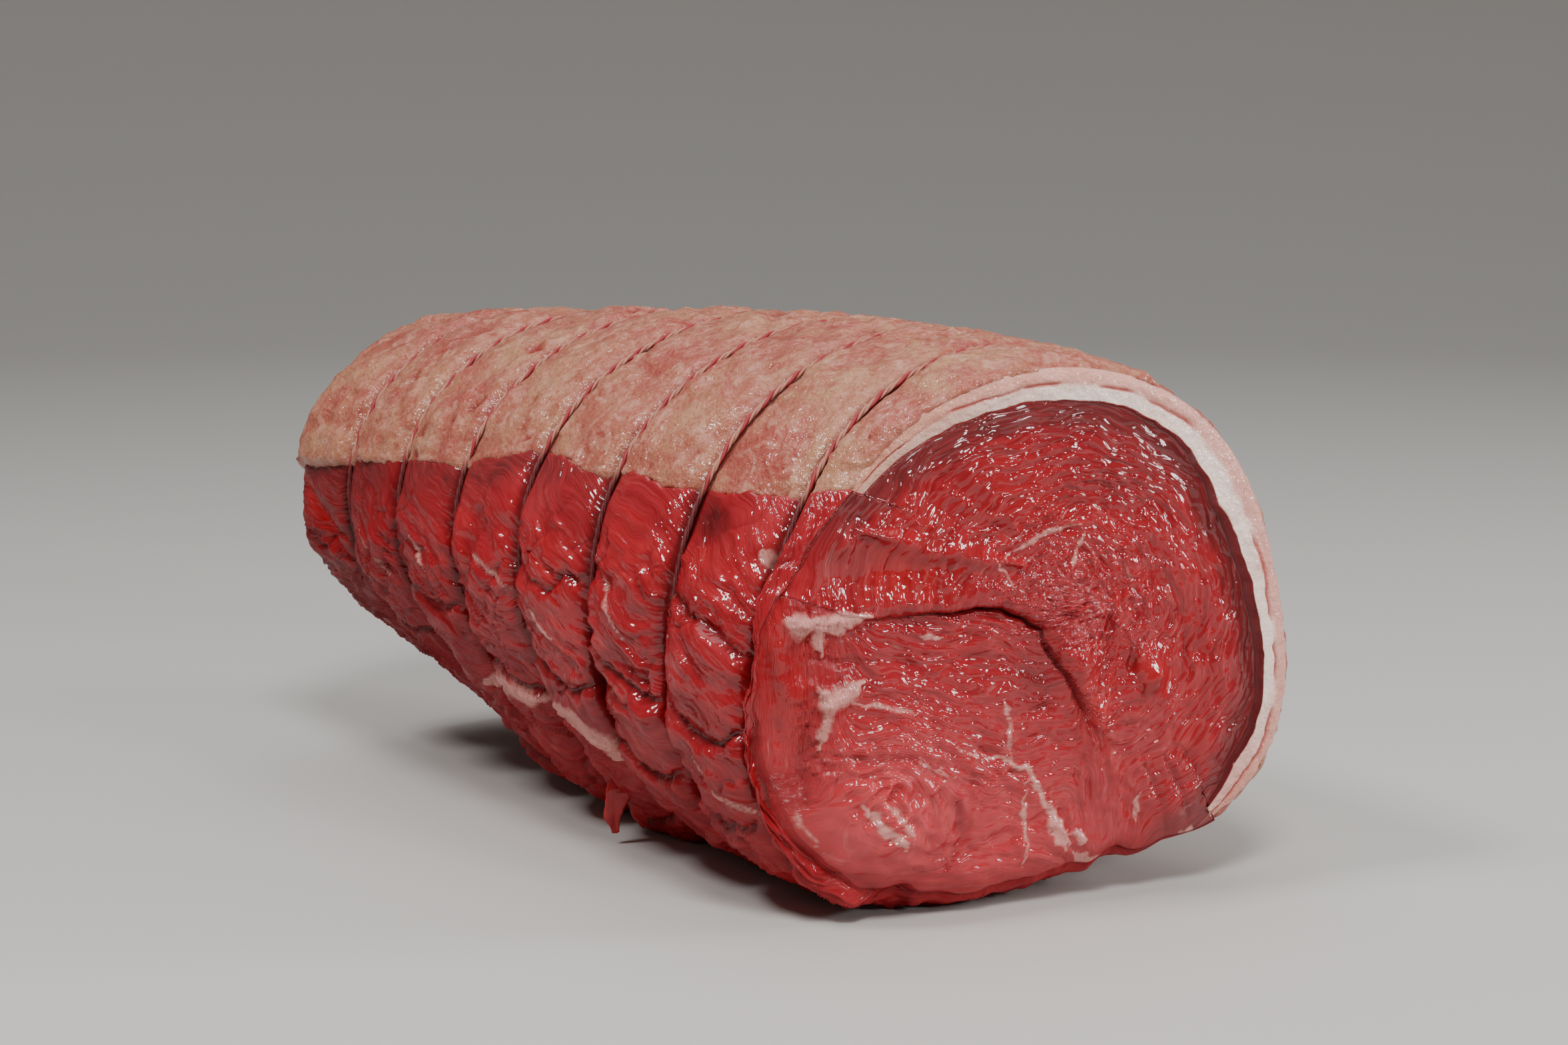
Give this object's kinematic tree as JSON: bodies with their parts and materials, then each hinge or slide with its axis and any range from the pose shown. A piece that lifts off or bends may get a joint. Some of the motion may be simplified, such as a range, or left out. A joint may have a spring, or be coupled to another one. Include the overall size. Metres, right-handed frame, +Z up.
{
  "type": "raw tied beef joint for salt beef",
  "caption": "Raw beef joint rolled and tied for salting: lean meat under a fat cap, bound by loops of twine, with one broad cut face.",
  "frame": {"origin": "middle of the bounding box in plan, on the surface that the joint rests on", "axes": "+X along the roll towards its broad cut face, +Z up, the bare lean side towards -Y"},
  "size_m": [0.281, 0.1492, 0.1403],
  "materials": {
    "lean": "raw red beef, moist and glossy",
    "fat": "raw beef fat, pink to cream, faintly moist",
    "twine": "twisted cotton butcher's twine, stained by the meat"
  },
  "bodies": {
    "root": {"lean": "lean", "fat_cap": "fat", "twine_1": "twine", "twine_2": "twine", "twine_3": "twine", "twine_4": "twine", "twine_5": "twine", "twine_6": "twine", "twine_7": "twine"}
  },
  "joints": []
}
